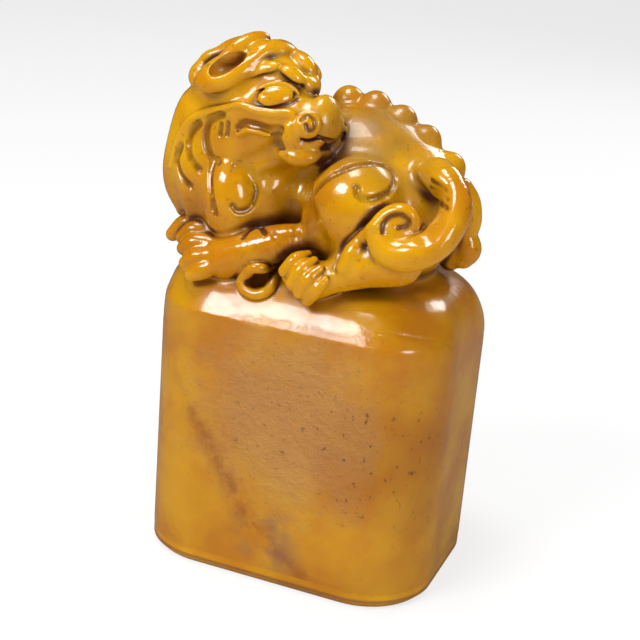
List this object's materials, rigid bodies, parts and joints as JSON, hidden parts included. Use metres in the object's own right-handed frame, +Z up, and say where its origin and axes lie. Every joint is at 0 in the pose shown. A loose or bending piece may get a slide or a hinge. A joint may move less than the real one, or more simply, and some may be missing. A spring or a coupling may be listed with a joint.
{
  "type": "seal stamp",
  "caption": "Stone seal stamp: an upright block with rounded edges, an engraved printing face underneath, and a reclining guardian beast carved on top as its knob.",
  "frame": {"origin": "centre of the block's outline, on the flat printing face under the block", "axes": "+Z up from the printing face to the beast's crown, +X along the front wall to the beast's tail, +Y from the front wall to the back"},
  "size_m": [0.0367, 0.028, 0.0599],
  "materials": {
    "beast_stone": "polished, glossy, amber to honey yellow with brown in the hollows",
    "block_stone": "polished walls, fine knife pits on the front, brown vein",
    "face_stone": "ground flat, matt, with a cut-away ground"
  },
  "bodies": {
    "root": {"nostrils": "beast_stone", "eyes": "beast_stone", "nose": "beast_stone", "brow_curls": "beast_stone", "ears": "beast_stone", "ear_rolls": "beast_stone", "crown_tufts": "beast_stone", "lower_jaw": "beast_stone", "muzzle": "beast_stone", "head": "beast_stone", "spine_ridge": "beast_stone", "tail_scroll": "beast_stone", "tail_root": "beast_stone", "tail_locks": "beast_stone", "left_foretoes": "beast_stone", "right_foretoes": "beast_stone", "left_hindtoes": "beast_stone", "right_hindtoes": "beast_stone", "left_forepaw": "beast_stone", "right_forepaw": "beast_stone", "left_hindpaw": "beast_stone", "right_hindpaw": "beast_stone", "charm_ring": "beast_stone", "left_foreleg": "beast_stone", "right_foreleg": "beast_stone", "left_hindleg": "beast_stone", "right_hindleg": "beast_stone", "mane_locks": "beast_stone", "left_shoulder": "beast_stone", "right_shoulder": "beast_stone", "left_haunch": "beast_stone", "right_haunch": "beast_stone", "mane": "beast_stone", "chest": "beast_stone", "rump": "beast_stone", "torso": "beast_stone", "ledge": "block_stone", "seal_block": "block_stone", "seal_face": "face_stone"}
  },
  "joints": []
}
